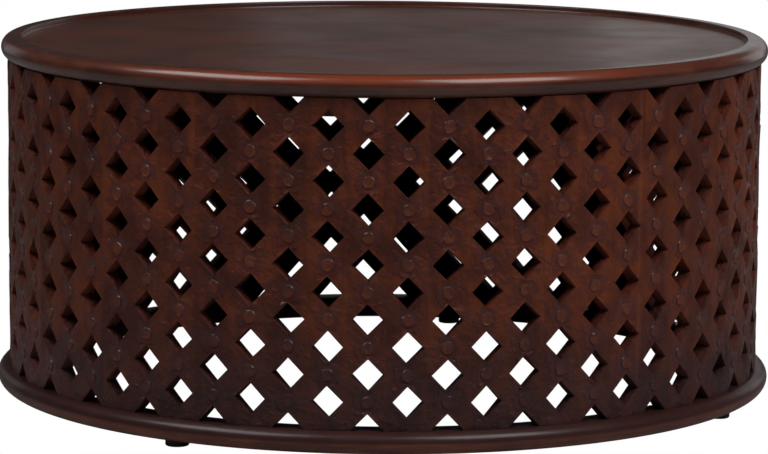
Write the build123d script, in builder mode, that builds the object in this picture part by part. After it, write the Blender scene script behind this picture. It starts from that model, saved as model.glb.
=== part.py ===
"""Low round drum table: a tray top on a pierced, staved wall that stands on a moulded base ring."""

import os
from math import cos, pi, radians, sin, sqrt

from build123d import *

# Driving dimensions, in millimetres. Bearings are in degrees from the front (-Y) towards +X.
rim_diameter = 914.0  # over the bullnosed rim of the top
rim_thickness = 26.0
rim_face_width = 24.5  # the rim's flat and nose, seen from above
rim_overhang = 8.0  # past the wall's outer face
recess_depth = 6.0  # from the rim down to the tray
board_count = 7

wall_height = 366.0
wall_thickness = 16.0
stave_count = 22
column_count = 64  # columns of holes, shared out among the staves; even, so that the lattice closes
row_steps = 12  # from the half holes at the foot to those at the head; even, as both are in the same columns
lattice_margin = 0.5  # from the end of a stave to the centre of its half holes
hole_width = 36.5
hole_height = 37.5
first_column_bearing = -7.68

base_overhang = 14.5  # past the wall's outer face
base_width = 42.5
base_height = 25.0

foot_diameter = 27.0
foot_height = 8.0
foot_chamfer = 2.0
foot_bearings = (-31.5, 63.5, 168.5, 248.0)  # set by hand, so not quite square

block_count = 11  # glue blocks under the panel
block_size = 22.0
batten_width = 60.0
batten_thickness = 18.0
batten_spacing = 400.0  # centre to centre
batten_clearance = 10.0  # from a batten's end to the ring of glue blocks

cut_clearance = 2.0  # how far a cutter runs past the wall's faces
nose_turns = 6  # equal turns of a half-round nose; even, so that its widest place is a flat

# Radii and heights that follow from them. The wall's radii are to the flats of its columns.
rim_radius = rim_diameter / 2
wall_radius = rim_radius - rim_overhang
wall_inner_radius = wall_radius - wall_thickness
rim_inner_radius = rim_radius - rim_face_width
panel_radius = rim_inner_radius
base_radius = wall_radius + base_overhang
base_inner_radius = base_radius - base_width

base_bottom = foot_height
wall_bottom = base_bottom + base_height
top_bottom = wall_bottom + wall_height
tray_level = top_bottom + rim_thickness - recess_depth
panel_thickness = tray_level - top_bottom

column_pitch = 360 / column_count
row_pitch = (wall_height - 2 * lattice_margin) / row_steps
board_width = 2 * panel_radius / board_count

os.makedirs("parts", exist_ok=True)


def place(radius, bearing):
    """The point on a circle about the table's axis, at a bearing."""
    turn = radians(bearing)
    return (radius * sin(turn), -radius * cos(turn))


def column_bearing(column):
    """The bearing of the middle of a column of holes, by its number from the first."""
    return first_column_bearing + column * column_pitch


def outward_plane(bearing, radius, height):
    """A plane square to the radius, with its x along the wall, its y up and its normal outward."""
    turn = radians(bearing)
    x, y = place(radius, bearing)
    return Plane(origin=(x, y, height), x_dir=(cos(turn), sin(turn), 0), z_dir=(sin(turn), -cos(turn), 0))


def half_round(radius, low, high):
    """The section of a ring's nose, from its foot up to its head, as flats that touch a half circle."""
    nose = (high - low) / 2
    reach = nose / cos(pi / (2 * nose_turns))
    turns = [pi * (step + 0.5) / nose_turns for step in range(nose_turns)]
    return [(radius - nose + reach * sin(turn), low + nose - reach * cos(turn)) for turn in turns]


def save(builder, name):
    """Labels a finished sub-part and writes it as the node of that name."""
    builder.part.label = name
    export_step(builder.part, f"parts/{name}.step")


# Base ring: a flat ring with a half-round outer edge, turned from one glued-up blank.
with BuildPart() as base_ring:
    with BuildSketch(Plane.XZ):
        with BuildLine():
            inner_foot = (base_inner_radius, base_bottom)
            inner_head = (base_inner_radius, wall_bottom)
            Polyline(inner_foot, *half_round(base_radius, base_bottom, wall_bottom), inner_head, close=True)
        make_face()
    revolve(axis=Axis.Z)
save(base_ring, "base_ring")

# Staves: flat-faced at each column, with the lattice's diamonds sawn through square to the wall.
outer_corner = wall_radius / cos(radians(column_pitch / 2))
inner_corner = wall_inner_radius / cos(radians(column_pitch / 2))
for number in range(stave_count):
    first_column = round(number * column_count / stave_count)
    next_first_column = round((number + 1) * column_count / stave_count)
    edges = [column_bearing(column) - column_pitch / 2 for column in range(first_column, next_first_column + 1)]
    outer_face = [place(outer_corner, bearing) for bearing in edges]
    inner_face = [place(inner_corner, bearing) for bearing in reversed(edges)]
    with BuildPart() as stave:
        with BuildSketch(Plane.XY.offset(wall_bottom)):
            Polygon(*outer_face, *inner_face, align=None)
        extrude(amount=wall_height)
        for column in range(first_column, next_first_column):
            saw_start = wall_inner_radius - cut_clearance
            rows = range((column + 1) % 2, row_steps + 1, 2)
            centres = [(0, lattice_margin + row * row_pitch) for row in rows]
            with BuildSketch(outward_plane(column_bearing(column), saw_start, wall_bottom)):
                with Locations(*centres):
                    Polygon(
                        (hole_width / 2, 0),
                        (0, hole_height / 2),
                        (-hole_width / 2, 0),
                        (0, -hole_height / 2),
                    )
            extrude(amount=wall_thickness + 2 * cut_clearance, mode=Mode.SUBTRACT)
    save(stave, f"stave_{number + 1:02d}")

# Rim: glued to the head of the wall and round the panel's edge, half-round outside, proud of the tray.
rim_top = top_bottom + rim_thickness
with BuildPart() as top_rim:
    with BuildSketch(Plane.XZ):
        with BuildLine():
            rim_inner_foot = (rim_inner_radius, top_bottom)
            rim_inner_head = (rim_inner_radius, rim_top)
            Polyline(rim_inner_foot, *half_round(rim_radius, top_bottom, rim_top), rim_inner_head, close=True)
        make_face()
    revolve(axis=Axis.Z)
save(top_rim, "top_rim")

# Panel boards: they run from left to right and are glued edge to edge into one disc, let into the rim.
for number in range(board_count):
    board_front = -panel_radius + number * board_width
    with BuildPart() as board:
        with BuildSketch(Plane.XY.offset(top_bottom)):
            Circle(panel_radius)
            with Locations((0, board_front + board_width / 2)):
                Rectangle(2 * panel_radius, board_width, mode=Mode.INTERSECT)
        extrude(amount=panel_thickness)
    save(board, f"top_board_{number + 1}")

# Glue blocks: they carry the panel's edge from the wall, on even columns, which are solid at the head.
for number in range(block_count):
    block_column = 2 * round(number * column_count / 2 / block_count)
    block_bearing = column_bearing(block_column)
    block_middle = top_bottom - block_size / 2
    with BuildPart() as block:
        with BuildSketch(outward_plane(block_bearing, wall_inner_radius - block_size, block_middle)):
            Rectangle(block_size, block_size)
        extrude(amount=block_size)
    save(block, f"glue_block_{number + 1:02d}")

# Battens: two boards across the panel's joints, which keep it flat.
batten_reach = wall_inner_radius - block_size - batten_clearance
batten_edge = (batten_spacing + batten_width) / 2
batten_length = 2 * sqrt(batten_reach**2 - batten_edge**2)
for name, side in (("batten_left", -1), ("batten_right", 1)):
    with BuildPart() as batten:
        with BuildSketch(Plane.XY.offset(top_bottom)):
            with Locations((side * batten_spacing / 2, 0)):
                Rectangle(batten_width, batten_length)
        extrude(amount=-batten_thickness)
    save(batten, name)

# Foot pads: small round glides under the flat of the base ring, alike and so one node of four solids.
base_nose = base_height / 2
foot_circle = (base_inner_radius + base_radius - base_nose) / 2
with BuildPart() as foot_pads:
    with BuildSketch(Plane.XY):
        with Locations(*[place(foot_circle, bearing) for bearing in foot_bearings]):
            Circle(foot_diameter / 2)
    extrude(amount=foot_height)
    chamfer(foot_pads.edges().group_by(Axis.Z)[0], foot_chamfer)
save(foot_pads, "foot_pads")
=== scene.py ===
import math
import random

import bmesh
import bpy
from mathutils import Matrix, Vector


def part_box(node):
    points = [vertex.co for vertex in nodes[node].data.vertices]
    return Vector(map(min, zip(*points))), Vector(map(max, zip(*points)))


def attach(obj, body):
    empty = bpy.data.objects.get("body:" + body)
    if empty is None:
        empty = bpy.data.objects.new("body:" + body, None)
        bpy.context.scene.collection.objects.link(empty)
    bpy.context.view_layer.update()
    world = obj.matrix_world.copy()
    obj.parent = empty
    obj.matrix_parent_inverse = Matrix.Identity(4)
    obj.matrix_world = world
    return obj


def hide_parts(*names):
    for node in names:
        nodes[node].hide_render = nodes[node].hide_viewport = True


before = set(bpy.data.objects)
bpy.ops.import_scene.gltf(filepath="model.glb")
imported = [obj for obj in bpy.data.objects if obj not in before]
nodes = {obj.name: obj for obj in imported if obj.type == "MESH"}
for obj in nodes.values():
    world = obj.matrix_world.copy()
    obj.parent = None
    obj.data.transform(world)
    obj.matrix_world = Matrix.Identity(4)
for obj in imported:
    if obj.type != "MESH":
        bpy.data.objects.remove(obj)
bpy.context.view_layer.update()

joinGap = 0.00001  # points nearer than this are one
noiseSpan = (0.3, 0.7)  # where most of a noise's values lie


# what is selected, and finishing a piece
def useOnly(piece):
    bpy.ops.object.select_all(action="DESELECT")
    piece.select_set(True)
    bpy.context.view_layer.objects.active = piece


def startEditing(piece):
    useOnly(piece)
    bpy.ops.object.mode_set(mode="EDIT")


def stopEditing():
    bpy.ops.object.mode_set(mode="OBJECT")


def pick(piece, kind, test):  # in edit mode, selects the verts, edges or faces that pass the test
    mesh = bmesh.from_edit_mesh(piece.data)
    for part in mesh.verts[:] + mesh.edges[:] + mesh.faces[:]:
        part.select = False
    for part in getattr(mesh, kind):
        if test(part):
            part.select_set(True)
    bmesh.update_edit_mesh(piece.data)


def onBorder(part):
    return part.is_boundary


def near(first, second):
    return abs(first - second) < joinGap


def mergeDoubles():
    bpy.ops.mesh.select_all(action="SELECT")
    bpy.ops.mesh.remove_doubles(threshold=joinGap)


def applyPlace(piece):
    useOnly(piece)
    bpy.ops.object.transform_apply(location=True, rotation=True, scale=True)


def applyModifiers(piece):
    useOnly(piece)
    for modifier in list(piece.modifiers):
        bpy.ops.object.modifier_apply(modifier=modifier.name)


def mergeAndTurnOut(piece):  # one point where two meet, and all faces outwards
    startEditing(piece)
    mergeDoubles()
    bpy.ops.mesh.normals_make_consistent(inside=False)
    stopEditing()


def markFaces(piece, name, test):  # an attribute that is 1 on the faces that pass the test
    mark = piece.data.attributes.new(name, "FLOAT", "FACE")
    mark.data.foreach_set("value", [1.0 if test(face) else 0.0 for face in piece.data.polygons])


def copyOf(piece, name):
    twin = piece.copy()
    twin.data = piece.data.copy()
    twin.name = twin.data.name = name
    bpy.context.scene.collection.objects.link(twin)
    return twin


def joinAll(pieces, name):
    bpy.ops.object.select_all(action="DESELECT")
    for piece in pieces:
        piece.select_set(True)
    bpy.context.view_layer.objects.active = pieces[0]
    bpy.ops.object.join()
    pieces[0].name = pieces[0].data.name = name
    return pieces[0]


def onCircle(radius, bearing):  # bearings are from the front (-Y) towards +X
    return radius * math.sin(bearing), -radius * math.cos(bearing)


# nodes of a finish: values are plain numbers, or sockets to link from
def nodeIn(tree, kind, values=None, **settings):
    node = tree.nodes.new(kind)
    for setting, value in settings.items():
        setattr(node, setting, value)
    for socket, value in (values or {}).items():
        if isinstance(value, bpy.types.NodeSocket):
            tree.links.new(value, node.inputs[socket])
        else:
            node.inputs[socket].default_value = value
    return node


def maths(tree, operation, first, second=0.5):
    return nodeIn(tree, "ShaderNodeMath", {0: first, 1: second}, operation=operation).outputs[0]


def times(tree, first, second):
    return maths(tree, "MULTIPLY", first, second)


def plus(tree, first, second):
    return maths(tree, "ADD", first, second)


def minus(tree, first, second):
    return maths(tree, "SUBTRACT", first, second)


def vectorMaths(tree, operation, first, second=(0, 0, 0)):
    return nodeIn(tree, "ShaderNodeVectorMath", {0: first, 1: second}, operation=operation).outputs


def vectorOf(tree, x, y, z):
    return nodeIn(tree, "ShaderNodeCombineXYZ", {"X": x, "Y": y, "Z": z}).outputs[0]


def splitOf(tree, vector):
    return nodeIn(tree, "ShaderNodeSeparateXYZ", {0: vector}).outputs


def bearingOf(tree, split):
    return maths(tree, "ARCTAN2", split["X"], times(tree, split["Y"], -1.0))


def spread(tree, value, low, high, newLow=0.0, newHigh=1.0):
    values = {"Value": value, "From Min": low, "From Max": high, "To Min": newLow, "To Max": newHigh}
    return nodeIn(tree, "ShaderNodeMapRange", values, interpolation_type="SMOOTHSTEP").outputs["Result"]


def blendColour(tree, factor, first, second, kind="MIX"):
    values = {0: factor, 6: first, 7: second}
    return nodeIn(tree, "ShaderNodeMix", values, data_type="RGBA", blend_type=kind).outputs[2]


def greyOf(tree, value):
    return nodeIn(tree, "ShaderNodeCombineColor", {0: value, 1: value, 2: value}).outputs[0]


def noise(tree, vector, scale, detail=3.0, roughness=0.5, distortion=0.0):
    values = {"Vector": vector, "Scale": scale, "Detail": detail, "Roughness": roughness,
              "Distortion": distortion}
    return nodeIn(tree, "ShaderNodeTexNoise", values).outputs["Fac"]


def useGroup(tree, group, values):
    return nodeIn(tree, "ShaderNodeGroup", values, node_tree=group).outputs


def newGroup(name, inputs, outputs):
    group = bpy.data.node_groups.new(name, "ShaderNodeTree")
    for socket, kind, value in inputs:
        made = group.interface.new_socket(socket, in_out="INPUT", socket_type=kind)
        if value is not None:
            made.default_value = value
    for socket, kind in outputs:
        group.interface.new_socket(socket, in_out="OUTPUT", socket_type=kind)
    return group, group.nodes.new("NodeGroupInput").outputs, group.nodes.new("NodeGroupOutput").inputs


def makeWoodFigure():
    # the vector runs along the grain in x; figure is the broad light and dark, fibre the fine streaks
    group, given, result = newGroup(
        "woodFigure",
        [("Vector", "NodeSocketVector", None), ("Grain Stretch", "NodeSocketFloat", 14.0),
         ("Figure Scale", "NodeSocketFloat", 30.0), ("Fibre Scale", "NodeSocketFloat", 420.0)],
        [("Figure", "NodeSocketFloat"), ("Fibre", "NodeSocketFloat"), ("Pores", "NodeSocketFloat")])
    shrink = maths(group, "DIVIDE", 1.0, given["Grain Stretch"])
    along = vectorMaths(group, "MULTIPLY", given["Vector"], vectorOf(group, shrink, 1.0, 1.0))[0]
    figure = noise(group, along, given["Figure Scale"], 4.0, 0.55, 0.6)
    fibre = noise(group, along, given["Fibre Scale"], 3.0, 0.6, 0.2)
    pores = noise(group, along, times(group, given["Fibre Scale"], 1.7), 1.0, 0.5)
    group.links.new(spread(group, figure, *noiseSpan), result["Figure"])
    group.links.new(fibre, result["Fibre"])
    group.links.new(spread(group, pores, 0.62, 0.74), result["Pores"])
    return group


def makePatina():
    # stain that lies darker in the low places and is rubbed through to a warmer wood on the high ones; that
    # warmer colour also paints light: a highlight along the wall's one joint, and more of it towards the
    # rim's front
    group, given, result = newGroup(
        "patina",
        [("Stain", "NodeSocketColor", (0.05, 0.015, 0.008, 1)),
         ("Warm Stain", "NodeSocketColor", (0.1, 0.03, 0.01, 1)),
         ("Overlay", "NodeSocketColor", (0.02, 0.012, 0.01, 1)),
         ("Rubbed And Lit", "NodeSocketColor", (0.2, 0.06, 0.02, 1)),
         ("Figure", "NodeSocketFloat", 0.5), ("Fibre", "NodeSocketFloat", 0.5),
         ("Streak", "NodeSocketFloat", 0.6), ("Low", "NodeSocketFloat", 0.0),
         ("High", "NodeSocketFloat", 0.0), ("Vector", "NodeSocketVector", None)],
        [("Color", "NodeSocketColor"), ("Roughness", "NodeSocketFloat")])
    cloud = noise(group, given["Vector"], 16.0, 3.0, 0.6)
    patch = plus(group, times(group, cloud, 0.7), times(group, given["Figure"], 0.3))
    colour = blendColour(group, spread(group, patch, 0.36, 0.64), given["Stain"], given["Warm Stain"])
    streak = greyOf(group, spread(group, given["Fibre"], *noiseSpan, 0.6, 1.3))
    colour = blendColour(group, given["Streak"], colour, streak, "MULTIPLY")
    colour = blendColour(group, given["High"], colour, given["Rubbed And Lit"])
    colour = blendColour(group, given["Low"], colour, given["Overlay"])
    group.links.new(colour, result["Color"])
    group.links.new(spread(group, cloud, *noiseSpan, 0.34, 0.46), result["Roughness"])
    return group


woodFigure = makeWoodFigure()
patina = makePatina()


def newMaterial(name):
    material = bpy.data.materials.new(name)
    material.use_nodes = True
    tree = material.node_tree
    return material, tree, tree.nodes["Principled BSDF"], nodeIn(tree, "ShaderNodeTexCoord").outputs["Object"]


def setShine(shader, coatRoughness, specularLevel=0.5):
    shader.inputs["IOR"].default_value = 1.5
    shader.inputs["Coat Roughness"].default_value = coatRoughness
    shader.inputs["Specular IOR Level"].default_value = specularLevel


def addBumps(tree, shader, bumps):  # each is a height and how deep it goes, in metres
    normal = None
    for height, depth in bumps:
        values = {"Height": height, "Distance": depth, "Strength": 1.0}
        if normal:
            values["Normal"] = normal
        normal = nodeIn(tree, "ShaderNodeBump", values).outputs["Normal"]
    tree.links.new(normal, shader.inputs["Normal"])


def dress(piece, material):
    if not piece.material_slots:
        piece.data.materials.append(material)
    for slot in piece.material_slots:
        slot.material = material


def dressNodes(start, material):  # the CAD nodes whose names start so
    for name, node in nodes.items():
        if name.startswith(start):
            dress(node, material)


# wall: its finish; four numbers that aren't a colour are from, to, and the amount at each
carvedFinish = {
    "stain": (0.050, 0.0098, 0.0043, 1), "warmStain": (0.118, 0.0235, 0.0056, 1),
    "overlay": (0.062, 0.0145, 0.0130, 1), "rubbedAndLit": (0.19, 0.056, 0.020, 1),
    "grainStretch": 5.0, "figureScale": 38.0, "figureRange": (0.25, 0.75),
    "figureShift": 5.0,  # between the figures of the darkest stave and the lightest
    "fibreScale": 300.0, "fibreDepth": 0.00004, "streak": 0.2,
    "toneRange": (0.95, 1.05),  # from the darkest stave to the lightest
    "overlaid": (-0.0001, 0.0009, 0.0, 0.75),  # over the depth of the carving
    "raggedScale": 130.0, "ragged": (-0.0003, 0.0004),  # how far the glaze's edge strays, as a depth
    "blotchScale": 52.0, "blotch": (0.5, 0.64, 0.0, 0.45),  # glaze that is left in patches
    "wornAmount": 0.05, "buttonAmount": 0.36, "buttonGlaze": 0.62,
    # painted light: the sides of the holes are made lighter to make up for the shade in them
    # painted shade: the back, the inside of the drum, is made nearly black
    "sawnPaintedLight": 1.3, "backPaintedShade": 0.25,
    "coat": 0.08, "scoopCoat": 0.34, "coatRoughness": 0.22, "specularLevel": 0.22,
    "rough": 0.13, "sawnRough": 0.4, "scoopSmooth": 0.22,
    "handScale": 42.0, "handDepth": 0.0044,  # the unevenness of hand work
    "toolScale": 125.0, "toolDepth": 0.0026, "toolShare": (0.0, 0.7, 0.3, 1.0),  # most in the scoops
    "footColour": (0.0172, 0.0120, 0.0150, 1), "footDark": (0.035, 0.185, 0.62, 0.0),  # over the height: the wall is painted darker and greyer towards its foot
    "paintedFootSheen": (-1.2, -0.65, 1.7, 0.0),  # over the bearing: how much lighter the foot is, a painted sheen of the floor on the left side
    "highlitJoint": math.radians(39.4), "jointHalfWidth": 0.0065, "jointHighlight": 0.3,  # the one that shows, with a painted highlight along it
}


def makeCarvedWood():  # grain upright; each stave has its own figure and tone
    finish = carvedFinish
    material, tree, shader, place = newMaterial("carved_stained_wood")
    marks = {name: nodeIn(tree, "ShaderNodeAttribute", attribute_name=name).outputs["Fac"]
             for name in ("depth", "worn", "button", "sawn", "back", "tone")}
    split = splitOf(tree, place)
    bearing = bearingOf(tree, split)
    shift = vectorOf(tree, 0.0, 0.0, times(tree, marks["tone"], finish["figureShift"]))
    own = vectorMaths(tree, "ADD", place, shift)[0]
    turned = nodeIn(tree, "ShaderNodeMapping", {"Vector": own, "Rotation": (0, math.pi / 2, 0)}).outputs[0]
    figure = useGroup(tree, woodFigure, {
        "Vector": turned, "Grain Stretch": finish["grainStretch"], "Figure Scale": finish["figureScale"],
        "Fibre Scale": finish["fibreScale"]})

    stray = spread(tree, noise(tree, place, finish["raggedScale"], 2.0), *noiseSpan, *finish["ragged"])
    carved = times(tree, spread(tree, plus(tree, marks["depth"], stray), *finish["overlaid"]),
                   spread(tree, marks["button"], 0.0, 1.0, 1.0, finish["buttonGlaze"]))
    blotch = spread(tree, noise(tree, place, finish["blotchScale"], 3.0, 0.6), *finish["blotch"])
    low = maths(tree, "MAXIMUM", carved, blotch)
    # painted highlight: a lighter strip of the warm rubbed colour along the one joint that shows
    fromJoint = maths(tree, "ABSOLUTE", minus(tree, bearing, finish["highlitJoint"]))
    jointLight = spread(tree, fromJoint, 0.0, finish["jointHalfWidth"], finish["jointHighlight"], 0.0)
    high = plus(tree, times(tree, marks["worn"], finish["wornAmount"]),
                times(tree, marks["button"], finish["buttonAmount"]))
    high = plus(tree, high, times(tree, jointLight, minus(tree, 1.0, marks["sawn"])))
    broad = spread(tree, figure["Figure"], 0.0, 1.0, *finish["figureRange"])
    stained = useGroup(tree, patina, {
        "Stain": finish["stain"], "Warm Stain": finish["warmStain"], "Overlay": finish["overlay"],
        "Rubbed And Lit": finish["rubbedAndLit"], "Figure": broad, "Fibre": figure["Fibre"], "Streak": finish["streak"],
        "Low": low, "High": high, "Vector": place})

    # darker and greyer towards the wall's foot
    foot = spread(tree, split["Z"], *finish["footDark"])
    # painted reflection: the foot is made lighter on the left, for the floor's sheen there
    footSheen = times(tree, foot, spread(tree, bearing, *finish["paintedFootSheen"]))
    # painted shade: the back, inside the drum, is darkened nearly to black
    tone = times(tree, spread(tree, marks["tone"], 0.0, 1.0, *finish["toneRange"]),
                 spread(tree, marks["back"], 0.0, 1.0, 1.0, finish["backPaintedShade"]))
    # painted light: the sides of the holes are made lighter to make up for the shade in them
    tone = times(tree, tone, spread(tree, marks["sawn"], 0.0, 1.0, 1.0, finish["sawnPaintedLight"]))
    tone = times(tree, tone, plus(tree, footSheen, 1.0))
    colour = blendColour(tree, foot, stained["Color"], finish["footColour"])
    colour = blendColour(tree, 1.0, colour, greyOf(tree, tone), "MULTIPLY")
    tree.links.new(colour, shader.inputs["Base Color"])

    rough = plus(tree, stained["Roughness"], times(tree, marks["sawn"], finish["sawnRough"]))
    rough = minus(tree, rough, times(tree, low, finish["scoopSmooth"]))
    tree.links.new(plus(tree, rough, finish["rough"]), shader.inputs["Roughness"])
    setShine(shader, finish["coatRoughness"], finish["specularLevel"])
    # no coat on the sides of the holes, on their edges and on the back
    coated = minus(tree, 1.0, maths(tree, "MAXIMUM", marks["sawn"], marks["worn"]))
    coat = spread(tree, low, 0.0, finish["overlaid"][3], finish["coat"], finish["scoopCoat"])
    tree.links.new(times(tree, coated, coat), shader.inputs["Coat Weight"])
    hand = noise(tree, place, finish["handScale"], 2.0)
    tooled = noise(tree, place, finish["toolScale"], 1.5)
    tooled = times(tree, tooled, spread(tree, low, *finish["toolShare"]))
    addBumps(tree, shader, [(hand, finish["handDepth"]), (tooled, finish["toolDepth"]),
                            (figure["Fibre"], finish["fibreDepth"])])
    return material


# and its staves: the lattice sawn through, and a button carved at each crossing
lattice = {
    "staves": 22, "columns": 64, "rows": 12,
    "firstBearing": math.radians(-7.68),  # of the first column's middle
    "radius": 0.44925,  # between the flats of the CAD staves and their corners
    "thickness": 0.016, "margin": 0.0005,  # from a stave's end to the middle of its half holes
    "holeWidth": 0.0356, "holeHeight": 0.0366, "arris": 0.0006,
    "scoopSides": 12, "scoopRadius": 0.0172,
    # from the edge of the scoop in to the middle of its button: how far in, and how far up
    "rings": [(0.0044, -0.0007), (0.0050, -0.0005), (0.0010, 0.0011), (0.0022, -0.0008)],
    "cornerRadius": 0.0096,  # of the second ring next to a hole's corner, so that it stays off the hole
    "buttonRadius": 0.0064,
    "wander": 0.0016, "wanderSize": 0.035,  # how unevenly it is all cut
    "chatter": 0.0022, "chatterSize": 0.0065,  # and how unevenly the buttons and edges are
    "evenEnd": 0.008,  # the height over which this fades towards the rings
    "smoothAngle": math.radians(38),
}

wallLow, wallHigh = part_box("stave_01")
wallHeight = wallHigh.z - wallLow.z
columnArc = 2 * math.pi / lattice["columns"]
columnWidth = lattice["radius"] * columnArc
rowPitch = (wallHeight - 2 * lattice["margin"]) / lattice["rows"]


def moveCorners(tile, radius, target):  # a ring's two points above and below the middle, to the target
    pick(tile, "verts", lambda v: near(v.co.x, 0) and near(abs(v.co.y), radius))
    bpy.ops.transform.resize(value=(1, target / radius, 1), center_override=(0, 0, 0))


def sawTile(name, rings):  # one crossing with half a hole above and half below, flat, facing +Z
    halfWidth = columnWidth / 2
    holeSide = lattice["holeWidth"] / 2 + lattice["arris"]
    holeCorner = rowPitch - lattice["holeHeight"] / 2 - lattice["arris"]
    scoop = lattice["scoopRadius"]
    bpy.ops.mesh.primitive_circle_add(vertices=lattice["scoopSides"], radius=scoop, fill_type="NGON")
    tile = bpy.context.object
    tile.name = name
    startEditing(tile)
    bpy.ops.mesh.select_all(action="SELECT")
    for width, rise in rings:
        bpy.ops.mesh.inset(thickness=width, depth=rise)
    moveCorners(tile, scoop, holeCorner)  # the holes' corners cut the scoop short
    if rings:
        moveCorners(tile, scoop - rings[0][0], lattice["cornerRadius"])
    pick(tile, "edges", onBorder)  # the face round the scoop, out to the tile's outline
    bpy.ops.mesh.extrude_edges_move()
    for step, (x, y) in enumerate([(halfWidth, 0), (halfWidth, rowPitch), (holeSide, rowPitch)]):
        turn = step * 2 * math.pi / lattice["scoopSides"]
        fromX, fromY = scoop * math.cos(turn), scoop * math.sin(turn)
        pick(tile, "verts", lambda v: v.is_boundary and near(abs(v.co.x), fromX) and near(abs(v.co.y), fromY))
        scaleY = y / fromY if step else 1
        bpy.ops.transform.resize(value=(x / fromX, scaleY, 1), center_override=(0, 0, 0))
    mergeDoubles()
    shrink = 1 - lattice["arris"] / holeSide
    for end in (1, -1):  # the holes' eased edges
        pick(tile, "edges", lambda e: e.is_boundary and all(
            abs(v.co.x) < holeSide + joinGap and v.co.y * end > holeCorner - joinGap for v in e.verts))
        bpy.ops.mesh.extrude_edges_move()
        bpy.ops.transform.resize(value=(shrink, shrink, 1), center_override=(0, end * rowPitch, 0))
        bpy.ops.transform.translate(value=(0, 0, -lattice["arris"]))
    pick(tile, "edges", onBorder)  # through to the back, and the back itself
    bpy.ops.mesh.extrude_edges_move()
    bpy.ops.transform.resize(value=(1, 1, 0), center_override=(0, 0, -lattice["thickness"]))
    bpy.ops.mesh.edge_face_add()
    pick(tile, "faces", lambda f: abs(f.calc_center_median().x) > halfWidth - joinGap
         or abs(f.calc_center_median().y) > rowPitch - joinGap)
    bpy.ops.mesh.delete(type="ONLY_FACE")
    stopEditing()
    markFaces(tile, "button", lambda face: rings and face.normal.z > 0.5
              and face.center.xy.length < lattice["buttonRadius"])
    return tile


def stack(tile, firstRow, count, rowStep, shift):  # copies of a tile up one column
    pile = copyOf(tile, tile.name + "_pile")
    pile.location = (shift * columnWidth, lattice["margin"] + firstRow * rowPitch, 0)
    repeat = pile.modifiers.new("repeat", "ARRAY")
    repeat.use_relative_offset = False
    repeat.use_constant_offset = True
    repeat.constant_offset_displace = (0, rowStep * rowPitch, 0)
    repeat.count = count
    applyModifiers(pile)
    applyPlace(pile)
    return pile


def stackColumns(carved, plain, count, solidFirst):
    columns = []
    for number in range(count):
        shift = number - (count - 1) / 2
        if (number % 2 == 0) == solidFirst:  # solid at the head and foot
            columns.append(stack(carved, 2, 5, 2, shift))
            columns.append(stack(plain, 0, 2, 12, shift))
        else:
            columns.append(stack(carved, 1, 6, 2, shift))
            columns.append(stack(plain, -1, 2, 14, shift))
    return columns


def markStave(stave):  # what each part of the surface is, for its finish
    depth = stave.data.attributes.new("depth", "FLOAT", "POINT")  # of the carving below the face
    for point, vertex in zip(depth.data, stave.data.vertices):
        point.value = max(0.0, -vertex.co.z) if vertex.co.z > -3 * lattice["arris"] else 0.0

    def lowest(face):
        return min(stave.data.vertices[index].co.z for index in face.vertices)

    markFaces(stave, "worn",  # the eased edges of the holes
              lambda face: 0.5 < face.normal.z < 0.8 and lowest(face) > -2 * lattice["arris"])
    markFaces(stave, "sawn", lambda face: face.normal.z < 0.3)  # the sides of the holes, and the back
    markFaces(stave, "back", lambda face: face.normal.z < -0.9)  # which is painted nearly black, as painted shade inside the drum


def sawStave(name, carved, plain, count, solidFirst):  # bent to the wall's curve, its middle at the front
    stave = joinAll(stackColumns(carved, plain, count, solidFirst), name)
    side = count / 2 * columnWidth
    startEditing(stave)
    mergeDoubles()
    pick(stave, "edges", lambda e: e.is_boundary  # the edges that meet the next staves
         and all(abs(v.co.x) > side - joinGap and v.co.z > -joinGap for v in e.verts))
    bpy.ops.mesh.extrude_edges_move()
    bpy.ops.transform.translate(value=(0, 0, -lattice["thickness"]))
    mergeDoubles()
    for height, up in ((0, -1), (wallHeight, 1)):
        bpy.ops.mesh.select_all(action="SELECT")
        bpy.ops.mesh.bisect(plane_co=(0, height, 0), plane_no=(0, up, 0), clear_outer=True, use_fill=True)
    mergeDoubles()
    bpy.ops.mesh.normals_make_consistent(inside=False)
    stopEditing()
    markStave(stave)
    stave.rotation_euler = (math.pi / 2, 0, 0)
    stave.location = (0, 0, wallLow.z)
    applyPlace(stave)
    bend = stave.modifiers.new("bend", "SIMPLE_DEFORM")
    bend.deform_method = "BEND"
    bend.deform_axis = "Z"
    bend.angle = count * columnArc
    applyModifiers(stave)
    stave.location = (0, -lattice["radius"], 0)
    applyPlace(stave)
    return stave


def newUnevenness(name):
    texture = bpy.data.textures.new(name, "CLOUDS")
    texture.cloud_type = "COLOR"
    texture.noise_scale = lattice[name + "Size"]
    texture.noise_depth = 1
    return texture


def cutUnevenly(stave):  # as by hand: all but the ends, which meet the rings
    inner = stave.vertex_groups.new(name="inner")
    for vertex in stave.data.vertices:
        fromEnd = min(vertex.co.z - wallLow.z, wallHigh.z - vertex.co.z)
        inner.add([vertex.index], min(1.0, fromEnd / lattice["evenEnd"]), "REPLACE")
    for name, texture in unevenness.items():
        uneven = stave.modifiers.new(name, "DISPLACE")
        uneven.texture = texture
        uneven.texture_coords = "LOCAL"
        uneven.direction = "RGB_TO_XYZ"
        uneven.mid_level = 0.5
        uneven.strength = lattice[name]
        uneven.vertex_group = "inner"
    applyModifiers(stave)


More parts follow.
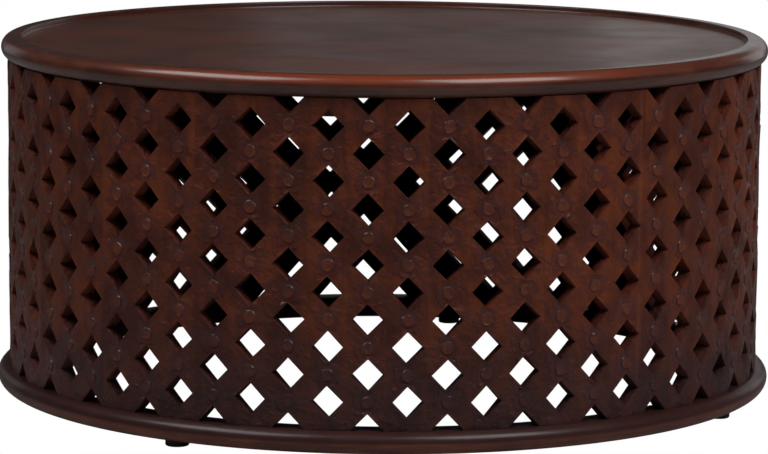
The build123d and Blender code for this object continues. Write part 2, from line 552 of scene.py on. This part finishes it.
bpy.ops.object.select_all(action="DESELECT")
carvedWood = makeCarvedWood()
carvedTile = sawTile("carved_tile", lattice["rings"])
plainTile = sawTile("plain_tile", [])
unevenness = {name: newUnevenness(name) for name in ("wander", "chatter")}
chance = random.Random(7)
tones = [chance.random() for number in range(lattice["staves"])]  # 0 is the darkest, 1 the lightest
tones[2:4] = [0.95, 0.15]  # the two on either side of the joint that shows
patterns = {}
staves = []
joints = [round(number * lattice["columns"] / lattice["staves"]) for number in range(lattice["staves"] + 1)]
for number, (first, after) in enumerate(zip(joints, joints[1:])):
    kind = (after - first, first % 2 == 0)
    if kind not in patterns:
        patterns[kind] = sawStave("stave_pattern", carvedTile, plainTile, *kind)
    stave = copyOf(patterns[kind], f"carved_stave_{number + 1:02d}")
    stave.rotation_euler.z = lattice["firstBearing"] + (first + after - 1) / 2 * columnArc
    applyPlace(stave)
    tone = stave.data.attributes.new("tone", "FLOAT", "FACE")
    tone.data.foreach_set("value", [tones[number]] * len(stave.data.polygons))
    cutUnevenly(stave)
    bpy.ops.object.shade_smooth_by_angle(angle=lattice["smoothAngle"])
    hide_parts(f"stave_{number + 1:02d}")
    dress(stave, carvedWood)
    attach(stave, "root")
    staves.append(stave)
for spare in [*patterns.values(), carvedTile, plainTile]:
    bpy.data.objects.remove(spare)
print("wall:", len(staves), "staves of", len(staves[0].data.polygons), "faces")


# rim and base ring: the finish that they share, and one section each, turned round the table's axis
ringFinish = {
    "stain": (0.046, 0.0135, 0.0090, 1), "warmStain": (0.075, 0.0215, 0.0120, 1),
    "overlay": (0.018, 0.0065, 0.0062, 1), "rubbedAndLit": (0.180, 0.0300, 0.0075, 1),
    "figureScale": 60.0, "fibreScale": 420.0,
    "noseWear": (0.0120, 0.0060),  # rubbed from this far inside the widest place, and fully from this far
    "paintedFrontLight": (0.65, 0.97, 0.2, 1.0),  # from the sides round to the front: painted light, more rub where the front is lit
    "patchScale": 9.0, "patchWear": (0.3, 0.6, 0.7, 1.0),
    "coatRoughness": 0.2, "specularLevel": 0.2,
    "waveScale": 14.0, "waveDepth": 0.0012, "fibreDepth": 0.00004,
}
rimDesign = {
    "nose": 0.013, "radius": 0.457, "inner": 0.4325,
    "ease": 0.0009,  # where the rim's flat turns down to the tray
    "bead": 0.0016,  # at the foot of that drop
    "coat": 0.9, "tone": 1.0,
    "rubbedAndLit": (0.0150, 0.0178, 0.0, 0.9),  # over the height above its foot
}
baseDesign = {
    "nose": 0.0125, "radius": 0.4635, "inner": 0.421, "ease": 0.0008,
    # painted light: this tone makes the base ring half again lighter than the rim in the same finish, in
    # place of the light from the floor below it
    "coat": 0.28, "tone": 1.55,
    "overlaid": (0.0110, 0.0150, 0.0, 0.9),  # over the height above its foot: the base ring is painted darker over its upper half
}
turning = {
    "noseSides": 40,  # of the whole circle that the half-round comes from
    "turns": 240, "smoothAngle": math.radians(32),
}


def makeRingWood(name, design, low):  # grain along the ring
    finish = ringFinish
    material, tree, shader, place = newMaterial(name)
    split = splitOf(tree, place)
    along = vectorOf(tree, times(tree, bearingOf(tree, split), design["radius"]), split["Z"], 0.0)
    figure = useGroup(tree, woodFigure, {
        "Vector": along, "Figure Scale": finish["figureScale"], "Fibre Scale": finish["fibreScale"]})
    height = minus(tree, split["Z"], low)
    stain = {"Stain": finish["stain"], "Warm Stain": finish["warmStain"], "Overlay": finish["overlay"],
             "Rubbed And Lit": finish["rubbedAndLit"], "Figure": figure["Figure"], "Fibre": figure["Fibre"],
             "Vector": place}
    if "overlaid" in design:
        stain["Low"] = spread(tree, height, *design["overlaid"])
    if "rubbedAndLit" in design:
        flat = vectorMaths(tree, "MULTIPLY", place, (1, 1, 0))[0]
        fromAxis = vectorMaths(tree, "LENGTH", flat)["Value"]
        nose = spread(tree, fromAxis, *[design["radius"] - inside for inside in finish["noseWear"]])
        toFront = maths(tree, "DIVIDE", times(tree, split["Y"], -1.0), design["radius"])
        patch = spread(tree, noise(tree, place, finish["patchScale"], 2.0), *finish["patchWear"])
        # painted light: the rub grows from the sides round to the front, where the front is lit; its patches
        # are wear
        worn = times(tree, spread(tree, toFront, *finish["paintedFrontLight"]), patch)
        stain["High"] = times(tree, times(tree, spread(tree, height, *design["rubbedAndLit"]), nose), worn)
    stained = useGroup(tree, patina, stain)
    # each ring's tone; on the base ring this lightening is painted light
    colour = blendColour(tree, 1.0, stained["Color"], (*[design["tone"]] * 3, 1), "MULTIPLY")
    tree.links.new(colour, shader.inputs["Base Color"])
    tree.links.new(stained["Roughness"], shader.inputs["Roughness"])
    setShine(shader, finish["coatRoughness"], finish["specularLevel"])
    shader.inputs["Coat Weight"].default_value = design["coat"]
    wave = noise(tree, place, finish["waveScale"], 2.0)
    addBumps(tree, shader, [(wave, finish["waveDepth"]), (figure["Fibre"], finish["fibreDepth"])])
    return material


def turnRing(name, design, low, profile):
    # profile: the section's points between the head of the nose and its foot, as (radius, height)
    nose = design["nose"]
    noseCentre = design["radius"] - nose
    bpy.ops.mesh.primitive_circle_add(
        vertices=turning["noseSides"], radius=nose, fill_type="NOTHING",
        location=(noseCentre, 0, low + nose), rotation=(math.pi / 2, 0, 0))
    ring = bpy.context.object
    ring.name = ring.data.name = name
    applyPlace(ring)
    startEditing(ring)
    bpy.ops.mesh.select_all(action="SELECT")
    bpy.ops.mesh.bisect(plane_co=(noseCentre, 0, 0), plane_no=(-1, 0, 0), clear_outer=True)
    spot = Vector((noseCentre, 0, low + 2 * nose))
    for r, z in [*profile, (noseCentre, low)]:
        pick(ring, "verts", lambda v: (v.co - spot).length < joinGap)
        step = Vector((r, 0, z)) - spot
        bpy.ops.mesh.extrude_vertices_move(TRANSFORM_OT_translate={"value": tuple(step)})
        spot = spot + step
    mergeDoubles()
    bpy.ops.mesh.spin(steps=turning["turns"], angle=2 * math.pi, center=(0, 0, 0), axis=(0, 0, 1))
    stopEditing()
    mergeAndTurnOut(ring)
    bpy.ops.object.shade_smooth_by_angle(angle=turning["smoothAngle"])
    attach(ring, "root")
    return ring


def quarterTurn(centre, size, start, steps):  # points of a quarter circle, turning from the start angle
    turns = [start + math.pi / 2 * step / steps for step in range(steps + 1)]
    return [(centre[0] + size * math.cos(turn), centre[1] + size * math.sin(turn)) for turn in turns]


def easedEdge(design, height, start, steps):  # of the inner face, at its head or foot
    return quarterTurn((design["inner"] + design["ease"], height), design["ease"], start, steps)


rimLow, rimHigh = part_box("top_rim")
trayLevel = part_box("top_board_4")[1].z
rimEdge = easedEdge(rimDesign, rimHigh.z - rimDesign["ease"], math.pi / 2, 3)
bead = quarterTurn((rimDesign["inner"], trayLevel), rimDesign["bead"], math.pi / 2, 4)
innerFace = [(rimDesign["inner"], trayLevel), (rimDesign["inner"], rimLow.z)]
rim = turnRing("turned_rim", rimDesign, rimLow.z, rimEdge + bead + innerFace)
dress(rim, makeRingWood("rim_wood", rimDesign, rimLow.z))
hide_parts("top_rim")

baseLow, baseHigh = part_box("base_ring")
headEdge = easedEdge(baseDesign, baseHigh.z - baseDesign["ease"], math.pi / 2, 2)
footEdge = easedEdge(baseDesign, baseLow.z + baseDesign["ease"], math.pi, 2)
baseRing = turnRing("turned_base_ring", baseDesign, baseLow.z, headEdge + footEdge)
dress(baseRing, makeRingWood("base_ring_wood", baseDesign, baseLow.z))
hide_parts("base_ring")
print("rings:", len(rim.data.polygons), "and", len(baseRing.data.polygons), "faces")


# tray boards: grain along x, with a new start in each board
trayFinish = {
    "stain": (0.040, 0.0115, 0.0078, 1), "warmStain": (0.096, 0.0235, 0.0110, 1),
    "pore": (0.024, 0.008, 0.005, 1), "poreAmount": 0.5,
    "grainStretch": 9.0, "figureScale": 24.0, "figureAmount": 0.35,
    "fibreScale": 300.0, "fibreDepth": 0.00005,
    "boardShift": (0.73, 0.31),  # of the grain from one board to the next, along it and in depth
    "cloudScale": 4.0, "cloudAmount": 0.65, "cloudRange": (0.36, 0.64),
    "coat": 0.72, "thinCoat": 0.45, "coatScale": 6.0, "coatRoughness": 0.3,
    "roughScale": 9.0, "roughness": (0.30, 0.42),
}


def makeTrayWood():
    finish = trayFinish
    material, tree, shader, place = newMaterial("tray_wood")
    low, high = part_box("top_board_1")
    split = splitOf(tree, place)
    board = maths(tree, "FLOOR", maths(tree, "DIVIDE", minus(tree, split["Y"], low.y), high.y - low.y))
    shiftX, shiftZ = [times(tree, board, shift) for shift in finish["boardShift"]]
    along = vectorOf(tree, plus(tree, split["X"], shiftX), split["Y"], plus(tree, split["Z"], shiftZ))
    figure = useGroup(tree, woodFigure, {
        "Vector": along, "Grain Stretch": finish["grainStretch"], "Figure Scale": finish["figureScale"],
        "Fibre Scale": finish["fibreScale"]})
    cloud = spread(tree, noise(tree, place, finish["cloudScale"], 3.0, 0.55, 0.8), *finish["cloudRange"])
    patch = plus(tree, times(tree, cloud, finish["cloudAmount"]),
                 times(tree, figure["Figure"], finish["figureAmount"]))
    colour = blendColour(tree, patch, finish["stain"], finish["warmStain"])
    colour = blendColour(tree, times(tree, figure["Pores"], finish["poreAmount"]), colour, finish["pore"])
    tree.links.new(colour, shader.inputs["Base Color"])
    rough = noise(tree, place, finish["roughScale"], 4.0, 0.6)
    tree.links.new(spread(tree, rough, *noiseSpan, *finish["roughness"]), shader.inputs["Roughness"])
    setShine(shader, finish["coatRoughness"])
    thinned = noise(tree, place, finish["coatScale"], 3.0, 0.55, 0.8)
    coat = spread(tree, thinned, *finish["cloudRange"], finish["thinCoat"], finish["coat"])
    tree.links.new(coat, shader.inputs["Coat Weight"])
    addBumps(tree, shader, [(figure["Fibre"], finish["fibreDepth"])])
    return material


dressNodes("top_board", makeTrayWood())


# glue blocks and battens: stained but not lacquered
innerFinish = {
    "dark": (0.040, 0.019, 0.013, 1), "light": (0.066, 0.031, 0.020, 1),
    "grainStretch": 1.0, "figureScale": 30.0, "fibreScale": 260.0, "fibreDepth": 0.0001,
    "roughness": (0.6, 0.8),
}


def makeInnerWood():
    finish = innerFinish
    material, tree, shader, place = newMaterial("inner_wood")
    figure = useGroup(tree, woodFigure, {
        "Vector": place, "Grain Stretch": finish["grainStretch"], "Figure Scale": finish["figureScale"],
        "Fibre Scale": finish["fibreScale"]})
    colour = blendColour(tree, figure["Figure"], finish["dark"], finish["light"])
    tree.links.new(colour, shader.inputs["Base Color"])
    rough = spread(tree, figure["Fibre"], *noiseSpan, *finish["roughness"])
    tree.links.new(rough, shader.inputs["Roughness"])
    addBumps(tree, shader, [(figure["Fibre"], finish["fibreDepth"])])
    return material


innerWood = makeInnerWood()
dressNodes("glue_block", innerWood)
dressNodes("batten", innerWood)
print("tray and inner pieces: dressed,", len(bpy.data.materials), "materials so far")


# foot pads: four alike, eased round the foot and dished a little underneath
pads = {
    "radius": 0.0135, "height": 0.008, "sides": 48, "round": 0.002, "roundSteps": 5,
    "dishEdge": 0.003, "dish": 0.0006, "smoothAngle": math.radians(32),
    "circle": 0.436, "bearings": [-31.5, 63.5, 168.5, 248.0],  # in degrees from the front
    "dark": (0.008, 0.008, 0.008, 1), "light": (0.018, 0.018, 0.018, 1), "roughness": (0.45, 0.65),
    "grainScale": 900.0, "grainDepth": 0.00006,
}


def makePadBlack():
    material, tree, shader, place = newMaterial("foot_pad_black")
    grain = noise(tree, place, pads["grainScale"], 2.0)
    tree.links.new(blendColour(tree, grain, pads["dark"], pads["light"]), shader.inputs["Base Color"])
    tree.links.new(spread(tree, grain, 0.2, 0.8, *pads["roughness"]), shader.inputs["Roughness"])
    addBumps(tree, shader, [(grain, pads["grainDepth"])])
    return material


def turnPad():
    bpy.ops.mesh.primitive_cylinder_add(
        vertices=pads["sides"], radius=pads["radius"], depth=pads["height"],
        location=(0, 0, pads["height"] / 2))
    pad = bpy.context.object
    applyPlace(pad)
    startEditing(pad)
    pick(pad, "edges", lambda e: all(v.co.z < joinGap for v in e.verts))
    bpy.ops.mesh.bevel(offset=pads["round"], segments=pads["roundSteps"], affect="EDGES")
    pick(pad, "faces", lambda f: f.normal.z < -0.99 and f.calc_center_median().z < joinGap)
    bpy.ops.mesh.inset(thickness=pads["dishEdge"])
    bpy.ops.mesh.inset(thickness=pads["dish"] * 2, depth=-pads["dish"])
    stopEditing()
    return pad


firstPad = turnPad()
padCopies = []
for bearing in pads["bearings"]:
    pad = copyOf(firstPad, "pad_copy")
    pad.location = (*onCircle(pads["circle"], math.radians(bearing)), 0)
    applyPlace(pad)
    padCopies.append(pad)
bpy.data.objects.remove(firstPad)
footPads = joinAll(padCopies, "eased_foot_pads")
mergeAndTurnOut(footPads)
bpy.ops.object.shade_smooth_by_angle(angle=pads["smoothAngle"])
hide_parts("foot_pads")
dress(footPads, makePadBlack())
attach(footPads, "root")
print("foot pads:", len(footPads.data.polygons), "faces")


# camera, floor and light
view = {
    "lens": 174.94, "sensor": 36.0, "distance": 4.4503, "height": 0.8639,
    "bearing": 0.00123, "down": 0.1500, "roll": 0.0066,  # radians
    "shift": 0.0007,
}

stand = Matrix.Rotation(view["bearing"], 4, "Z") @ Matrix.Translation((0, -view["distance"], view["height"]))
look = Matrix.Rotation(math.pi / 2 - view["down"], 4, "X") @ Matrix.Rotation(view["roll"], 4, "Z")
bpy.ops.object.camera_add()
camera = bpy.context.object
camera.data.lens = view["lens"]
camera.data.sensor_width = view["sensor"]
camera.data.shift_x = view["shift"]
camera.matrix_world = stand @ look
bpy.context.scene.camera = camera

studio = {
    "seen": 1.0,  # brightness of the plain white floor and backdrop
    "floorSize": 30, "floorTone": 0.6, "floorInLacquer": 0.25, "surround": 0.03,
    "aim": (0, 0, 0.25),  # where the boxes point
    # azimuth from the front and elevation of the middle, in degrees; distance, width and height in metres;
    # watts; and whether it shows in the lacquer
    "boxes": [
        ("box_left", -61, 50, 3.0, 2.0, 1.3, 40, True),
        ("box_right", 39, 48, 3.2, 1.7, 1.6, 46, True),
        ("panel_back", 168, 12, 3.4, 2.0, 0.9, 0.6, True),
        ("panel_back_right", 160, 12, 3.4, 1.5, 0.9, 1.1, True),
        ("panel_side_right", 140, 8, 3.4, 1.0, 1.2, 2.0, True),
        ("panel_side_left", -142, 8, 3.4, 1.0, 1.2, 0.8, True),
        ("fill_right", 85, 22, 3.4, 2.4, 1.8, 34, False),
        ("fill_front", -8, 60, 3.4, 2.4, 1.6, 12, False),
    ],
}


def makeFloor():  # plain white to the eye, duller in what it throws back
    material, tree, shader, place = newMaterial("studio_floor")
    tree.nodes.remove(shader)
    ray = nodeIn(tree, "ShaderNodeLightPath").outputs
    tones = [(*[studio[name]] * 3, 1) for name in ("floorTone", "floorInLacquer")]
    tone = blendColour(tree, ray["Is Glossy Ray"], *tones)
    dull = nodeIn(tree, "ShaderNodeBsdfDiffuse", {"Color": tone}).outputs[0]
    plain = nodeIn(tree, "ShaderNodeEmission", {"Color": (1, 1, 1, 1), "Strength": studio["seen"]}).outputs[0]
    mixed = nodeIn(tree, "ShaderNodeMixShader", {0: ray["Is Camera Ray"], 1: dull, 2: plain}).outputs[0]
    tree.links.new(mixed, tree.nodes["Material Output"].inputs["Surface"])
    return material


def makeWorld():
    world = bpy.data.worlds.new("studio")
    world.use_nodes = True
    tree = world.node_tree
    white = (1, 1, 1, 1)
    dim = nodeIn(tree, "ShaderNodeBackground", {"Color": white, "Strength": studio["surround"]}).outputs[0]
    plain = nodeIn(tree, "ShaderNodeBackground", {"Color": white, "Strength": studio["seen"]}).outputs[0]
    ray = nodeIn(tree, "ShaderNodeLightPath").outputs["Is Camera Ray"]
    mixed = nodeIn(tree, "ShaderNodeMixShader", {0: ray, 1: dim, 2: plain}).outputs[0]
    tree.links.new(mixed, tree.nodes["World Output"].inputs["Surface"])
    return world


def addBox(name, azimuth, elevation, distance, width, height, power, inLacquer):
    rise = math.radians(elevation)
    away = Vector((*onCircle(math.cos(rise), math.radians(azimuth)), math.sin(rise)))
    bpy.ops.object.light_add(type="AREA", location=Vector(studio["aim"]) + away * distance)
    box = bpy.context.object
    box.name = box.data.name = name
    box.rotation_euler = away.to_track_quat("Z", "Y").to_euler()
    box.data.shape = "RECTANGLE"
    box.data.size, box.data.size_y = width, height
    box.data.energy = power
    box.visible_camera = False
    box.visible_glossy = inLacquer


bpy.ops.mesh.primitive_plane_add(size=studio["floorSize"], location=(0, 0, 0))
floor = bpy.context.object
floor.name = "studio_floor"
dress(floor, makeFloor())
bpy.context.scene.world = makeWorld()
bpy.context.scene.view_settings.view_transform = "Standard"
for box in studio["boxes"]:
    addBox(*box)
print("studio:", len(studio["boxes"]), "lights")
